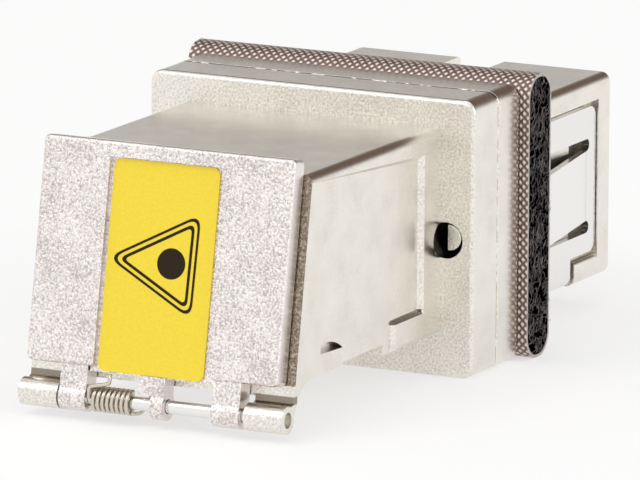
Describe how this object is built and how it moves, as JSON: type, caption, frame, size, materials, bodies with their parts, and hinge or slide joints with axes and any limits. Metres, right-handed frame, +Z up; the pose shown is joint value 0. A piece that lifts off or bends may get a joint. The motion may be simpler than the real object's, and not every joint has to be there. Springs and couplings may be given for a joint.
{
  "type": "shuttered fibre-optic bulkhead adapter",
  "caption": "Metal bulkhead adapter for push-pull fibre-optic plugs, with a spring-closed safety shutter, a panel clip and a conductive flange gasket.",
  "frame": {"origin": "centre of the alignment sleeve on the optical axis, in the plane where the front and rear housings meet", "axes": "+Y along the optical axis to the equipment side, -Y to the shuttered plug side, +Z up towards the keyways, +X to the right seen from the plug side"},
  "size_m": [0.017, 0.0332, 0.0129],
  "materials": {
    "nickel_cast": "nickel-plated casting, fine satin grain",
    "nickel_door": "nickel-plated casting, coarse grain",
    "spring_steel": "bright spring steel",
    "yellow_label": "satin printed film",
    "hook_plastic": "fine satin",
    "zirconia": "polished ceramic",
    "clear_adhesive": "satin film",
    "foam": "open-cell foam, matt",
    "conductive_cloth": "metallised woven cloth"
  },
  "bodies": {
    "adapter": {"front_housing": "nickel_cast", "rear_housing": "nickel_cast", "assembly_pins": "nickel_cast", "hinge_pin": "spring_steel", "shutter_spring": "spring_steel", "front_insert": "hook_plastic", "rear_insert": "hook_plastic", "alignment_sleeve": "zirconia", "panel_clip": "spring_steel", "gasket_adhesive": "clear_adhesive", "gasket_foam": "foam", "gasket_cloth": "conductive_cloth"},
    "shutter": {"shutter_door": "nickel_door", "shutter_sticker": "yellow_label"},
    "front_hook_left": {"front_hook_left": "hook_plastic"},
    "front_hook_right": {"front_hook_right": "hook_plastic"},
    "rear_hook_left": {"rear_hook_left": "hook_plastic"},
    "rear_hook_right": {"rear_hook_right": "hook_plastic"},
    "clip_latch_left": {"clip_latch_left": "spring_steel"},
    "clip_latch_right": {"clip_latch_right": "spring_steel"}
  },
  "joints": [
    {"name": "shutter_hinge", "type": "hinge", "parent": "adapter", "child": "shutter", "pos_m": [0, -0.0174, -0.0051], "axis": [1, 0, 0], "range_deg": [0, 110], "stiffness_Nm_per_rad": 0.0004, "springref_deg": -34.38, "deforming": ["shutter_spring"]},
    {"name": "front_hook_left_flex", "type": "hinge", "parent": "adapter", "child": "front_hook_left", "pos_m": [-0.0044, -0.00165, 0], "axis": [0, 0, -1], "range_deg": [0, 4.5], "stiffness_Nm_per_rad": 0.00002},
    {"name": "front_hook_right_flex", "type": "hinge", "parent": "adapter", "child": "front_hook_right", "pos_m": [0.0044, -0.00165, 0], "axis": [0, 0, 1], "range_deg": [0, 4.5], "stiffness_Nm_per_rad": 0.00002},
    {"name": "rear_hook_left_flex", "type": "hinge", "parent": "adapter", "child": "rear_hook_left", "pos_m": [-0.0044, 0.00165, 0], "axis": [0, 0, 1], "range_deg": [0, 4.5], "stiffness_Nm_per_rad": 0.00002},
    {"name": "rear_hook_right_flex", "type": "hinge", "parent": "adapter", "child": "rear_hook_right", "pos_m": [0.0044, 0.00165, 0], "axis": [0, 0, -1], "range_deg": [0, 4.5], "stiffness_Nm_per_rad": 0.00002},
    {"name": "clip_latch_left_flex", "type": "hinge", "parent": "adapter", "child": "clip_latch_left", "pos_m": [-0.0062, 0.01275, -0.00024], "axis": [0, 0, 1], "range_deg": [0, 9], "stiffness_Nm_per_rad": 0.00004},
    {"name": "clip_latch_right_flex", "type": "hinge", "parent": "adapter", "child": "clip_latch_right", "pos_m": [0.0062, 0.01275, -0.00024], "axis": [0, 0, -1], "range_deg": [0, 9], "stiffness_Nm_per_rad": 0.00004}
  ]
}
